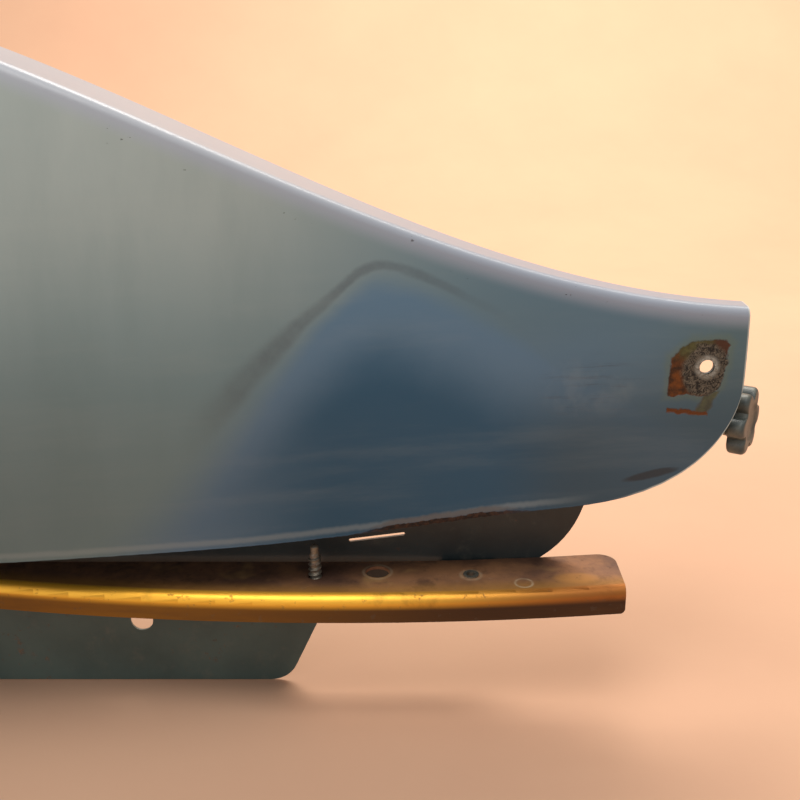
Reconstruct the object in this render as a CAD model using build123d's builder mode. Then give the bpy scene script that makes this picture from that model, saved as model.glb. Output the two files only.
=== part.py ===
from build123d import *
import os
from math import cos, pi, radians, sin, sqrt

os.makedirs("parts", exist_ok=True)

# Swing-up side cowl on its support rail.  Everything is drawn from the front pivot axis,
# where it leaves the outer face of the side plate: +X to the tail, +Z up, outside is -Y.
# It is saved from the centre of the four plate bolts, on the plate's inner face.

# cowl skin
skin_t = 1.2            # sheet thickness
weld_gap = 0.05         # between the skin and the pieces welded inside it
nose_x, tail_x = -56.0, 557.8
crown_x = 80.0          # where the top edge is highest
tail_top, crown_rise = 64.0, 142.0
tail_depth, belly_depth = 15.0, 75.0
flange_depth = 1.5      # gap between the rolled top flange and the side plate
roll_r, roll_growth = 4.6, 1.6   # radius of the rolled top edge at the tail, and its growth
section_floor = -60.0   # sections run below the trimmed lower edge
tail_hole = (540.7, 39.0)
tail_hole_d = 6.5

# side plate
plate_t = 1.5
mount_x, mount_z, mount_dx, mount_dz, mount_d = 200.0, 40.0, 260.0, 90.0, 8.5
slot_x, slot_z, slot_len, slot_w, slot_tilt = 396.0, -51.2, 27.0, 1.7, 7.7
saved_origin = Vector(mount_x, plate_t, mount_z)

# support rail
rail_top, rail_t, rail_face, rail_depth = -62.0, 1.5, 13.0, 34.0
rail_left, rail_right, rail_mid = 140.0, 510.0, 380.0
rail_bow_r, rail_front = 1000.0, -38.5
bend_outer, bend_inner = 4.5, 3.0
rail_hole = (396.5, -14.6, 11.0)
rivet_at = ((440.0, -17.5), (190.0, -9.6))
rivet_hole_r, rivet_r, rivet_bore_r = 2.75, 2.7, 2.15
bracket_reach = (25.0, 15.2)
screw_at = (367.6, -18.5)

# pivot
pin_d, bush_od, bush_gap = 8.0, 12.0, 0.05

# clamp at the tail: thread axis level, turned 30 degrees to the outside
clamp = (557.2, 10.0, 6.5)
strut_bolt_x = (440, 480)
clamp_turn = radians(30)
fork_t, tab_t, fork_gap = 2.0, 3.0, 0.6
washer_t, washer_gap = 1.6, 0.4
knob_r, knob_lobes, knob_len, lobe_r = 16.2, 6, 10.0, 4.7


def smooth(w):
    return (1 + cos(pi * max(0.0, min(1.0, w)))) / 2


def round_off(x, start, reach):
    return sqrt(max(0.0, 1 - ((start - x) / reach) ** 2))


def crest(x):
    """Height of the rolled top edge."""
    if x >= crown_x:
        return tail_top + crown_rise * smooth((x - crown_x) / 500)
    return 40 + (tail_top + crown_rise - 40) * round_off(x, crown_x, 140)


def depth(x):
    """How far the belly of the skin stands out from the side plate."""
    if x >= 60:
        return tail_depth + belly_depth * smooth((x - 60) / 520)
    return 8 + (tail_depth + belly_depth - 8) * round_off(x, 60, 118)


def section_plane(x):
    return Plane(origin=(x, 0, 0), x_dir=(0, -1, 0), z_dir=(-1, 0, 0))


def section(x, inset, back):
    """One cross-section of the cowl, moved inwards by inset; back is its plate side."""
    full = depth(x)
    fat = (full - tail_depth) / belly_depth
    roll = roll_r + roll_growth * fat
    lean = 0.1 + 0.45 * fat
    axis = full * (0.93 - 0.5 * fat) - roll
    roll = max(1.5, roll - inset)
    top = crest(x) - inset
    low = 0.64 * full + 4
    middle = (crest(x) + section_floor) / 2 + 6
    under = 1.3 * (full - low) / (middle + 38)
    floor = section_floor - 3 * inset
    k = 1 / sqrt(1 + lean * lean)
    start = (low - inset - under * (-38 - floor), floor)
    belly = (full - inset, middle)
    shoulder = (axis + roll * k, top - roll + roll * lean * k)
    with BuildSketch(section_plane(x)) as outline:
        with BuildLine():
            Spline(start, belly, shoulder, tangents=((under * 1.2, 1), (-lean, 1)))
            bend = (axis + roll * 0.62, top - roll + sqrt(roll**2 - (roll * 0.62) ** 2))
            ThreePointArc(shoulder, bend, (axis, top))
            Polyline((axis, top), (back, top), (back, floor), start)
        make_face()
    return outline.sketch


def envelope(inset, back, x_from=nose_x, x_to=575.0):
    """Solid filling the cowl to a surface lying inset inside its outer face."""
    inner = [-44, -18, 25, 80, 150, 230, 310, 380, 450, 515]
    stations = [x_from] + [x for x in inner if x_from + 6 < x < x_to - 6] + [x_to]
    with BuildPart() as body:
        loft([section(x, inset, back) for x in stations])
    return body.part


def below_outline():
    """Everything under the lower edge and behind the D-shaped tail, as one prism."""
    with BuildPart() as body:
        with BuildSketch(Plane.XZ.offset(-60)):
            with BuildLine():
                Spline((-75, 34), (-50, -14), (-26, -37), tangents=((0.3, -1), (1, -0.2)))
                Line((-26, -37), (250, -38.6))
                Spline((250, -38.6), (390, -35.6), (463, -28.8), (510, -22.5), (535, -10.5),
                       (550, 6), (tail_x, 34), tangents=((1, 0), (0, 1)))
                Polyline((tail_x, 34), (tail_x, 110), (640, 110), (640, -110), (-75, -110),
                         (-75, 34))
            make_face()
        extrude(amount=220)
    return body.part


outer = envelope(0, flange_depth)
cavity = envelope(skin_t, -6, nose_x + skin_t)
inside = envelope(skin_t + weld_gap, -40, nose_x + skin_t + 1)
lining = envelope(skin_t + weld_gap + 1.5, -41, nose_x + 8)
trim = below_outline()


def save(node, name):
    part = node.part.moved(Location(-saved_origin))
    part.label = name
    export_step(part, f"parts/{name}.step")


def across(x, z, y):
    """Plane across a fastener that runs along Y, facing the outside."""
    return Plane.XZ.offset(-y).shift_origin(Vector(x, y, z))


def bolt(x, z, y, d, grip, af, head):
    """Hex bolt: the head stands on y to the outside, the shank runs inwards."""
    with BuildSketch(across(x, z, y)) as hexagon:
        RegularPolygon(af / 2, 6, major_radius=False)
    extrude(hexagon.sketch, amount=head)
    with BuildSketch(across(x, z, y)) as shank:
        Circle(d / 2)
    extrude(shank.sketch, amount=-grip)


def ring(x, z, y, outer_d, bore_d, thick):
    """Round washer, spacer or bush from y to the outside."""
    with BuildSketch(across(x, z, y)) as flat:
        Circle(outer_d / 2)
        Circle(bore_d / 2, mode=Mode.SUBTRACT)
    extrude(flat.sketch, amount=thick)


def nut(x, z, y, bore_d, af, thick):
    with BuildSketch(across(x, z, y)) as flat:
        RegularPolygon(af / 2, 6, major_radius=False)
        Circle(bore_d / 2, mode=Mode.SUBTRACT)
    extrude(flat.sketch, amount=thick)


# ---- cowl ------------------------------------------------------------------

with BuildPart() as cowl_skin:
    add(outer)
    add(cavity, mode=Mode.SUBTRACT)
    add(trim, mode=Mode.SUBTRACT)
    with BuildSketch(across(*tail_hole, -40)):
        Circle(tail_hole_d / 2)
    extrude(amount=70, both=True, mode=Mode.SUBTRACT)
save(cowl_skin, "cowl_skin")

with BuildPart() as tail_doubler:
    with BuildSketch(across(*tail_hole, 0)):
        Circle(12)
        Circle(tail_hole_d / 2, mode=Mode.SUBTRACT)
    extrude(amount=40)
    add(inside, mode=Mode.INTERSECT)
    add(lining, mode=Mode.SUBTRACT)
save(tail_doubler, "tail_doubler")


def rib(x):
    """Pressed angle across the inside of the skin: a foot on the skin and a web."""
    core = envelope(skin_t + weld_gap + 13, -42, x - 30, x + 40)
    with BuildPart() as web:
        with Locations((x, -60, 50)):
            Box(1.5, 116, 160)
        add(inside, mode=Mode.INTERSECT)
        add(core, mode=Mode.SUBTRACT)
    with BuildPart() as foot:
        with Locations((x + 7, -60, 50)):
            Box(14, 116, 160)
        add(inside, mode=Mode.INTERSECT)
        add(lining, mode=Mode.SUBTRACT)
    add(web.part)
    add(foot.part)


with BuildPart() as cowl_ribs:
    for rib_x in (170, 345):
        rib(rib_x)
    with BuildSketch(Plane.XZ):
        with Locations((250, 130)):
            Rectangle(500, 100)
    extrude(amount=100, mode=Mode.SUBTRACT)
    add(trim, mode=Mode.SUBTRACT)
save(cowl_ribs, "cowl_ribs")

with BuildPart() as pivot_channel:
    with Locations((0, -58, 20)):
        Box(40, 90, 84)
    with Locations((0, -58 - 2, 20)):
        Box(37, 90, 90, mode=Mode.SUBTRACT)
    add(inside, mode=Mode.INTERSECT)
    ring(0, 0, -15, bush_od + 6, bush_od, 3)
    with BuildSketch(across(0, 0, 0)):
        Circle(bush_od / 2)
    extrude(amount=40, mode=Mode.SUBTRACT)
save(pivot_channel, "pivot_channel")

with BuildPart() as pivot_bush:
    ring(0, 0, -10, bush_od, pin_d + 2 * bush_gap, 8)
save(pivot_bush, "pivot_bush")

# ---- clamp -----------------------------------------------------------------

clamp_axis = Vector(cos(clamp_turn), -sin(clamp_turn), 0)
clamp_side = Vector(sin(clamp_turn), cos(clamp_turn), 0)


def clamp_plane(along):
    """Plane across the clamp thread, along mm out from the fork's inner face."""
    return Plane(Vector(*clamp) + clamp_axis * along, x_dir=clamp_side, z_dir=clamp_axis)


with BuildPart() as keeper_fork:
    with BuildSketch(clamp_plane(0)):
        with Locations((-13.5, 4)):
            Rectangle(47, 22)
    extrude(amount=fork_t)
    add(inside, mode=Mode.INTERSECT)
    with BuildPart(mode=Mode.PRIVATE) as foot:
        with Locations((clamp[0] - 30.3, -20, 7.5)):
            Box(34.5, 40, 15)
        add(inside, mode=Mode.INTERSECT)
        add(lining, mode=Mode.SUBTRACT)
    add(foot.part)
    with BuildSketch(clamp_plane(-1)):
        Circle(4.6)
        with Locations((0, -8)):
            Rectangle(9.2, 16)
    extrude(amount=4, mode=Mode.SUBTRACT)
save(keeper_fork, "keeper_fork")

tab_face = -fork_gap
strut_from = 420.0
strut_len = clamp[0] - 5.7 - strut_from     # up to where the tab turns outwards
with BuildPart() as rear_strut:
    with Locations((strut_from + strut_len / 2, plate_t + tab_t / 2, clamp[2])):
        Box(strut_len, tab_t, 20)
    with BuildSketch(clamp_plane(tab_face - tab_t)):
        with Locations((-0.3, 0)):
            Rectangle(21.4, 20)
        Circle(4.2, mode=Mode.SUBTRACT)
    extrude(amount=tab_t)
    for x in strut_bolt_x:
        with BuildSketch(across(x, clamp[2], 10)):
            Circle(3.3)
        extrude(amount=20, mode=Mode.SUBTRACT)
save(rear_strut, "rear_strut")

with BuildPart() as clamp_stud:
    with BuildSketch(clamp_plane(tab_face - tab_t)):
        Circle(4)
    extrude(amount=11.5 - tab_face + tab_t)
    with BuildSketch(clamp_plane(tab_face - tab_t)):
        RegularPolygon(6.5, 6, major_radius=False)
    extrude(amount=-5.3)
save(clamp_stud, "clamp_stud")

washer_in = fork_t + washer_gap
with BuildPart() as knob_washer:
    with BuildSketch(clamp_plane(washer_in)):
        Circle(8.5)
        Circle(4.3, mode=Mode.SUBTRACT)
    extrude(amount=washer_t)
save(knob_washer, "knob_washer")

knob_in = washer_in + washer_t + 0.1
with BuildPart() as hand_knob:
    with BuildSketch(clamp_plane(knob_in + 1.5)):
        Circle(knob_r - 4.3)
        with PolarLocations(knob_r - lobe_r, knob_lobes):
            Circle(lobe_r)
    extrude(amount=knob_len - 1.5)
    fillet(hand_knob.faces().sort_by(Axis(clamp, clamp_axis))[-1].edges(), 1.6)
    with BuildSketch(clamp_plane(knob_in)):
        Circle(9)
    extrude(amount=1.6)
    with BuildSketch(clamp_plane(knob_in)):
        Circle(6)
    extrude(amount=8, mode=Mode.SUBTRACT)
save(hand_knob, "hand_knob")

with BuildPart() as knob_insert:
    with BuildSketch(clamp_plane(knob_in)):
        Circle(6)
        Circle(4.05, mode=Mode.SUBTRACT)
    extrude(amount=8)
save(knob_insert, "knob_insert")

# ---- fixed frame -----------------------------------------------------------

frame_bolts_at = ((190, -80, -3.2), (330, -80, -3.2), (440, -78, -2.0))
buffer_x = (300, 430)


def buffer_z(x):
    """Centre of a rubber buffer that lies just under the rolled top flange."""
    slope = (crest(x + 1) - crest(x - 1)) / 2
    return crest(x) - skin_t - 8.7 * sqrt(1 + slope * slope)


with BuildPart() as inner_side_plate:
    with BuildSketch(Plane.XZ):
        with BuildLine():
            Polyline((470, -64.5), (448, -87), (60, -87), (-24, -42), (-40, 0))
            Spline((-40, 0), (-30, 90), (20, crest(20) - 17), (crown_x, crest(crown_x) - 17),
                   (200, crest(200) - 17), (300, crest(300) - 17), (400, crest(400) - 17),
                   (505, crest(505) - 17), tangents=((0, 1), (1, -0.25)))
            Polyline((505, crest(505) - 17), (503, -10), (493.3, -35.5))
            Spline((493.3, -35.5), (484.7, -52.2), (470, -64.5))
        make_face()
        with Locations((mount_x, mount_z)):
            with GridLocations(mount_dx, mount_dz, 2, 2):
                Circle(mount_d / 2, mode=Mode.SUBTRACT)
        with Locations(Location((slot_x, slot_z, 0), (0, 0, slot_tilt))):
            SlotOverall(slot_len, slot_w, mode=Mode.SUBTRACT)
        Circle(pin_d / 2 + 0.2, mode=Mode.SUBTRACT)
        with Locations(*[(x, z) for x, z, y in frame_bolts_at],
                       *[(x, clamp[2]) for x in strut_bolt_x]):
            Circle(3.3, mode=Mode.SUBTRACT)
        with Locations(*[(x, buffer_z(x)) for x in buffer_x]):
            Circle(2.7, mode=Mode.SUBTRACT)
    extrude(amount=-plate_t)
save(inner_side_plate, "inner_side_plate")


def bow(x, r):
    """Y of a line bowed in plan round the rail's centre."""
    return rail_front + rail_bow_r - sqrt(r * r - (x - rail_mid) ** 2)


def bowed(r, x0, x1):
    mid = (x0 + x1) / 2
    return ThreePointArc((x0, bow(x0, r)), (mid, bow(mid, r)), (x1, bow(x1, r)))


back_r = rail_bow_r - rail_depth
with BuildPart() as support_rail:
    with BuildSketch(Plane.XY.offset(rail_top - rail_t)):
        with BuildLine():
            bowed(rail_bow_r, rail_left, rail_right)
            Line((rail_right, bow(rail_right, rail_bow_r)), (rail_right, bow(rail_right, back_r)))
            bowed(back_r, rail_right, rail_mid)
            Polyline((rail_mid, bow(rail_mid, back_r)), (rail_left, bow(rail_mid, back_r)),
                     (rail_left, bow(rail_left, rail_bow_r)))
        make_face()
        fillet(vertices().group_by(Axis.X)[-1].sort_by(Axis.Y)[-1], 8)
    extrude(amount=rail_t)
    with BuildSketch(Plane.XY.offset(rail_top - rail_face)):
        with BuildLine():
            bowed(rail_bow_r, rail_left, rail_right)
            Line((rail_right, bow(rail_right, rail_bow_r)),
                 (rail_right, bow(rail_right, rail_bow_r - rail_t)))
            bowed(rail_bow_r - rail_t, rail_right, rail_left)
            Line((rail_left, bow(rail_left, rail_bow_r - rail_t)),
                 (rail_left, bow(rail_left, rail_bow_r)))
        make_face()
    extrude(amount=rail_face)
    fillet(support_rail.edges().group_by(Axis.X)[-1].sort_by(Axis.Z)[0], 2.2)
    arcs = support_rail.edges().filter_by(GeomType.CIRCLE)
    fillet(arcs.group_by(Axis.Z)[-1].sort_by(Axis.Y)[0], bend_outer)
    arcs = support_rail.edges().filter_by(GeomType.CIRCLE)
    inner_arc = [e for e in arcs if abs(e.center().Z - rail_top + rail_t) < 0.01
                 and e.length > 300 and e.center().Y < bow(rail_mid, back_r) - 10]
    fillet(inner_arc, bend_inner)
    with BuildSketch(Plane.XY.offset(rail_top)):
        with Locations(rail_hole[:2]):
            Circle(rail_hole[2] / 2)
        with Locations(*rivet_at):
            Circle(rivet_hole_r)
        with Locations(screw_at):
            Circle(3.3)
    extrude(amount=-5, mode=Mode.SUBTRACT)
save(support_rail, "support_rail")

under_rail = rail_top - rail_t
with BuildPart() as rail_brackets:
    for (x, y), reach in zip(rivet_at, bracket_reach):
        with Locations((x, -reach / 2, under_rail - 1)):
            Box(26, reach, 2)
        with Locations((x, -1, under_rail - 12)):
            Box(26, 2, 24)
        with BuildSketch(Plane.XY.offset(under_rail)):
            with Locations((x, y)):
                Circle(rivet_hole_r)
        extrude(amount=-4, mode=Mode.SUBTRACT)
    for x, z, y in frame_bolts_at[0::2]:
        with BuildSketch(across(x, z, 1)):
            Circle(3.3)
        extrude(amount=4, mode=Mode.SUBTRACT)
save(rail_brackets, "rail_brackets")

with BuildPart() as rail_rivets:
    for x, y in rivet_at:
        for level, radius, height in ((rail_top, 3.6, 0.7), (under_rail - 2, 3.6, -1.0)):
            with BuildSketch(Plane.XY.offset(level)):
                with Locations((x, y)):
                    Circle(radius)
            extrude(amount=height)
        with BuildSketch(Plane.XY.offset(under_rail - 2)):
            with Locations((x, y)):
                Circle(rivet_r)
        extrude(amount=2 + rail_t)
        with BuildSketch(Plane.XY.offset(rail_top + 1)):
            with Locations((x, y)):
                Circle(rivet_bore_r)
        extrude(amount=-8, mode=Mode.SUBTRACT)
save(rail_rivets, "rail_rivets")

thread_pitch, thread_turns = 2.6, 4
with BuildPart() as rail_screw:
    with BuildSketch(Plane.XZ.offset(-screw_at[1])):
        with BuildLine():
            base = under_rail
            points = [(0, base - 3.6), (4, base - 3.6), (5.4, base - 1.6), (5.4, base), (2.3, base)]
            for turn in range(thread_turns):
                z = base + 1.6 + turn * thread_pitch
                points += [(2.3, z), (3.15, z + 0.9), (2.3, z + 1.8)]
            points += [(2.0, z + 2.6), (1.9, rail_top + 15.6), (1.2, rail_top + 16.6),
                       (0, rail_top + 16.6)]
            Polyline(*[(screw_at[0] + r, z) for r, z in points], close=True)
        make_face()
    revolve(axis=Axis((screw_at[0], screw_at[1], 0), (0, 0, 1)))
save(rail_screw, "rail_screw")

with BuildPart() as lower_skirt:
    with BuildSketch(Plane.XZ.offset(2)):
        with BuildLine():
            Polyline((60, -92), (60, -74), (368.5, -74), (368.5, -92), (352, -128), (84, -128),
                     (60, -92))
        make_face()
        fillet(vertices().group_by(Axis.Y)[0], 14)
        with Locations((281.3, -94.6)):
            Circle(5.4, mode=Mode.SUBTRACT)
        with Locations(*[(x, z) for x, z, y in frame_bolts_at[:2]]):
            Circle(3.3, mode=Mode.SUBTRACT)
    extrude(amount=1.2)
save(lower_skirt, "lower_skirt")

with BuildPart() as skirt_spacer:
    ring(330, -80, 0, 14, 6.6, 2)
save(skirt_spacer, "skirt_spacer")

with BuildPart() as frame_washers:
    for x, z, y in frame_bolts_at:
        ring(x, z, y, 12.5, 6.4, 1.6)
save(frame_washers, "frame_washers")

with BuildPart() as frame_bolts:
    for x, z, y in frame_bolts_at:
        bolt(x, z, y - 1.6, 6, 5.6 + plate_t + 1.6 - y, 10, 4)
save(frame_bolts, "frame_bolts")

with BuildPart() as frame_nuts:
    for x, z, y in frame_bolts_at:
        nut(x, z, plate_t + 5, 6.1, 10, 5)
save(frame_nuts, "frame_nuts")

with BuildPart() as strut_bolts:
    for x in strut_bolt_x:
        bolt(x, clamp[2], 0, 6, plate_t + tab_t + 5.6, 10, 4)
save(strut_bolts, "strut_bolts")

with BuildPart() as strut_nuts:
    for x in strut_bolt_x:
        nut(x, clamp[2], plate_t + tab_t + 5, 6.1, 10, 5)
save(strut_nuts, "strut_nuts")

with BuildPart() as pivot_doubler:
    ring(0, 0, 0, 44, pin_d + 0.4, 2)
save(pivot_doubler, "pivot_doubler")

with BuildPart() as pivot_spacer:
    ring(0, 0, -2, 16, pin_d + 0.2, 7.7)
save(pivot_spacer, "pivot_spacer")

with BuildPart() as pivot_bolt:
    with BuildSketch(across(0, 0, plate_t)):
        RegularPolygon(6.5, 6, major_radius=False)
    extrude(amount=-5.3)
    with BuildSketch(across(0, 0, plate_t)):
        Circle(pin_d / 2)
    extrude(amount=30)
save(pivot_bolt, "pivot_bolt")

with BuildPart() as pivot_washer:
    ring(0, 0, -18.3, 17, pin_d + 0.4, 1.6)
save(pivot_washer, "pivot_washer")

with BuildPart() as pivot_nut:
    nut(0, 0, -19.9, pin_d + 0.1, 13, 6.5)
save(pivot_nut, "pivot_nut")

with BuildPart() as top_buffers:
    for x in buffer_x:
        ring(x, buffer_z(x), 0, 16, 5.2, 12)
save(top_buffers, "top_buffers")

with BuildPart() as buffer_screws:
    for x in buffer_x:
        with BuildSketch(across(x, buffer_z(x), plate_t)):
            Circle(4.6)
        extrude(amount=-2.6)
        with BuildSketch(across(x, buffer_z(x), plate_t)):
            Circle(2.5)
        extrude(amount=plate_t + 9)
save(buffer_screws, "buffer_screws")
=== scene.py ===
"""Swing-up side cowl on its support rail: surfaces, finishes, light and camera.

Points are worked out in millimetres from the front pivot, X to the tail, -Y outwards, Z up.
"""
import math

import bpy
import numpy as np
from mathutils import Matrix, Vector

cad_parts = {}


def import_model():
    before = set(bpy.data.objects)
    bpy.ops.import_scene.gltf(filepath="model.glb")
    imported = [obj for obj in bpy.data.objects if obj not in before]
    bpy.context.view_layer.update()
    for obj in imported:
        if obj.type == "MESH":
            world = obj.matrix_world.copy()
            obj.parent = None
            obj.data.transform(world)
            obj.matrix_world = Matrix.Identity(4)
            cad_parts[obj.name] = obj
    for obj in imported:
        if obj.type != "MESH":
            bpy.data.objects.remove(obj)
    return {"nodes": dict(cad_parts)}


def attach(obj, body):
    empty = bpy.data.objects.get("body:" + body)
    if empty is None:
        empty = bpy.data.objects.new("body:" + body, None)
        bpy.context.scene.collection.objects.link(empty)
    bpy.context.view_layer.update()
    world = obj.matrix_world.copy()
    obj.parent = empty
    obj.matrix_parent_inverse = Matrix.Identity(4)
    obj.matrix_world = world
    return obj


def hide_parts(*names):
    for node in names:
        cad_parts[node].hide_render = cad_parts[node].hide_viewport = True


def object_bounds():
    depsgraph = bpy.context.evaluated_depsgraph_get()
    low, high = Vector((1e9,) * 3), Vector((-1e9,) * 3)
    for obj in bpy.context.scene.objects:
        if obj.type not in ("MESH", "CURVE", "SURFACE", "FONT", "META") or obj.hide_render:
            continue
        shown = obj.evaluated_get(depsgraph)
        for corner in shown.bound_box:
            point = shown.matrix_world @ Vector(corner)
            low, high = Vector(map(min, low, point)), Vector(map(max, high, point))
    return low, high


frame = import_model()
cad_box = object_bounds()
MM = 0.001

# ---- sizes shared with the design, in millimetres ----------------------------
SHEET = 1.2
NOSE, TAIL = -56.0, 557.8
CROWN = 80.0
TAIL_TOP, CROWN_RISE = 64.0, 142.0
TAIL_DEPTH, BELLY_DEPTH = 15.0, 75.0
FLANGE_DEPTH = 1.5
ROLL, ROLL_GROWTH = 4.6, 1.6
KNOB_R, LOBES, LOBE_R, KNOB_CORE = 16.2, 6, 4.7, 11.9
FLOOR_OF_SECTION = -60.0
SILL = -38.0
STATIONS = (-44, -18, 25, 80, 150, 230, 310, 380, 450, 515)
TAIL_HOLE = (540.7, 39.0, 3.25)              # x, z, radius
RAIL_TOP, RAIL_T = -62.0, 1.5
SCREW = (367.6, -18.5)                       # x, y
CLAMP = np.array((557.2, 10.0, 6.5))
CLAMP_TURN = math.radians(30)
PLATE = 1.5
# the object's own origin, seen from the pivot
ORIGIN = np.array((200.0, 1.5, 40.0))


# ---- mesh helpers ------------------------------------------------------------

def mesh_piece(name, points, faces, body, replaces=(), crease=35, attributes=None):
    """Makes one object from an (n, 3) array, in millimetres from the pivot, and its faces."""
    mesh = bpy.data.meshes.new(name)
    mesh.from_pydata(((np.asarray(points) - ORIGIN) * MM).tolist(), [], [list(f) for f in faces])
    for key, values in (attributes or {}).items():
        layer = mesh.attributes.new(key, "FLOAT", "POINT")
        layer.data.foreach_set("value", np.asarray(values, dtype=np.float32))
    mesh.validate()
    mesh.polygons.foreach_set("use_smooth", np.ones(len(mesh.polygons), dtype=bool))
    mesh.set_sharp_from_angle(angle=math.radians(crease))
    piece = bpy.data.objects.new(name, mesh)
    bpy.context.scene.collection.objects.link(piece)
    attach(piece, body)
    if replaces:
        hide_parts(*replaces)
    return piece


def numbered_faces(numbers, flip=False):
    """Quads of a grid of point numbers."""
    quads = np.stack([numbers[:-1, :-1], numbers[:-1, 1:], numbers[1:, 1:], numbers[1:, :-1]],
                     -1).reshape(-1, 4)
    return quads[:, ::-1] if flip else quads


def grid_faces(rows, columns, wrap=False, flip=False):
    """Quads of a rows by columns grid of points numbered row by row; wrap closes each row."""
    numbers = np.arange(rows * columns).reshape(rows, columns)
    if wrap:
        numbers = np.hstack([numbers, numbers[:, :1]])
    return numbered_faces(numbers, flip)


def strip_faces(first, second):
    """Quads joining two equally long runs of point numbers."""
    return np.stack([first[:-1], first[1:], second[1:], second[:-1]], axis=-1)


def clamped_spline(knots, values, start, end):
    """Tangents of the smooth cubic through values (k, ...) at knots, with given end tangents."""
    h = np.diff(knots)
    count = len(knots)
    matrix = np.zeros((count, count))
    right = np.zeros((count, values[0].size))
    flat = values.reshape(count, -1)
    matrix[0, 0] = matrix[-1, -1] = 1
    right[0], right[-1] = start.ravel(), end.ravel()
    for k in range(1, count - 1):
        a, b = 1 / h[k - 1], 1 / h[k]
        matrix[k, k - 1:k + 2] = a, 2 * (a + b), b
        right[k] = 3 * ((flat[k] - flat[k - 1]) * a * a + (flat[k + 1] - flat[k]) * b * b)
    return np.linalg.solve(matrix, right).reshape(values.shape)


def end_slope(knots, values, last=False):
    """Slope at an end of the parabola through the three points there."""
    k, v = (knots[::-1], values[::-1]) if last else (knots, values)
    a, b = k[1] - k[0], k[2] - k[0]
    return ((v[1] - v[0]) * b / a - (v[2] - v[0]) * a / b) / (b - a)


def spline_at(knots, values, tangents, where):
    """Cubic Hermite values at an array of knots' parameters."""
    k = np.clip(np.searchsorted(knots, where, side="right") - 1, 0, len(knots) - 2)
    h = (knots[k + 1] - knots[k])
    s = (where - knots[k]) / h
    shape = (-1,) + (1,) * (values.ndim - 1)
    s, h = s.reshape(shape), h.reshape(shape)
    return ((2 * s**3 - 3 * s**2 + 1) * values[k] + (s**3 - 2 * s**2 + s) * h * tangents[k]
            + (-2 * s**3 + 3 * s**2) * values[k + 1] + (s**3 - s**2) * h * tangents[k + 1])


def through(points, start, end, count):
    """Points on the smooth curve through a few points, leaving along start, arriving along end."""
    p = np.array(points, dtype=float)
    knots = np.r_[0, np.cumsum(np.linalg.norm(np.diff(p, axis=0), axis=1))]
    first, last = end_slope(knots, p), end_slope(knots, p, True)
    start = np.array(start) / np.linalg.norm(start) * np.linalg.norm(first)
    end = np.array(end) / np.linalg.norm(end) * np.linalg.norm(last)
    tangents = clamped_spline(knots, p, start, end)
    return spline_at(knots, p, tangents, np.linspace(0, knots[-1], count))


# ---- the cowl's skin -----------------------------------------------------------

def half_wave(w):
    """1 at 0, falling as half a cosine wave to 0 at 1."""
    return (1 + math.cos(math.pi * max(0.0, min(1.0, w)))) / 2


def round_off(x, start, reach):
    """Quarter of an ellipse: 1 at start, 0 at reach before it."""
    return math.sqrt(max(0.0, 1 - ((start - x) / reach) ** 2))


def crest(x):
    """Height of the top line: an ellipse up to the crown, then half a wave down to the tail."""
    if x >= CROWN:
        return TAIL_TOP + CROWN_RISE * half_wave((x - CROWN) / 500)
    return 40 + (TAIL_TOP + CROWN_RISE - 40) * round_off(x, CROWN, 140)


def belly(x):
    """Greatest depth of the skin, made like the crest."""
    if x >= 60:
        return TAIL_DEPTH + BELLY_DEPTH * half_wave((x - 60) / 520)
    return 8 + (TAIL_DEPTH + BELLY_DEPTH - 8) * round_off(x, 60, 118)


def cross_section(x, inset, count=(120, 24, 24)):
    """Depth and height along the skin at x: a cubic from below the lower edge over the belly
    to the shoulder, a round arc over the top, and a straight flange back to the plate."""
    full = belly(x)
    fat = (full - TAIL_DEPTH) / BELLY_DEPTH
    roll = ROLL + ROLL_GROWTH * fat
    lean = 0.1 + 0.45 * fat
    axis = full * (0.93 - 0.5 * fat) - roll
    roll -= inset
    top = crest(x) - inset
    low = 0.64 * full + 4
    middle = (crest(x) + FLOOR_OF_SECTION) / 2 + 6
    under = 1.3 * (full - low) / (middle - SILL)
    floor = FLOOR_OF_SECTION - 3 * inset
    k = 1 / math.sqrt(1 + lean * lean)
    shoulder = (axis + roll * k, top - roll + roll * lean * k)
    side = through([(low - inset - under * (SILL - floor), floor), (full - inset, middle),
                    shoulder], (under * 1.2, 1), (-lean, 1), count[0])
    angle = np.linspace(math.atan2(lean * k, k), math.pi / 2, count[1] + 1)[1:]
    arc = np.stack([axis + roll * np.cos(angle), top - roll + roll * np.sin(angle)], -1)
    flange = np.stack([np.linspace(axis, FLANGE_DEPTH, count[2] + 1)[1:],
                       np.full(count[2], top)], -1)
    return np.vstack([side, arc, flange])


def lofted(inset):
    """Smooth surface through the cross-sections at the stations: knots, values, tangents."""
    xs = np.array([NOSE + inset, *STATIONS, 575.0])
    rings = np.array([cross_section(x, inset) for x in xs])
    rings = np.concatenate([np.broadcast_to(xs[:, None, None], rings.shape[:2] + (1,)), rings], -1)
    steps = np.linalg.norm(np.diff(rings, axis=0), axis=-1).mean(1)
    knots = np.r_[0, np.cumsum(steps)]
    tangents = clamped_spline(knots, rings, end_slope(knots, rings), end_slope(knots, rings, True))
    return knots, rings, tangents


def rings_at(loft, xs):
    """The loft's cross-sections at an array of x."""
    knots, rings, tangents = loft
    fine = np.linspace(0, knots[-1], 4000)
    x_fine = spline_at(knots, rings[:, :1, 0], tangents[:, :1, 0], fine)[:, 0]
    return spline_at(knots, rings, tangents, np.interp(xs, x_fine, fine))


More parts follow.
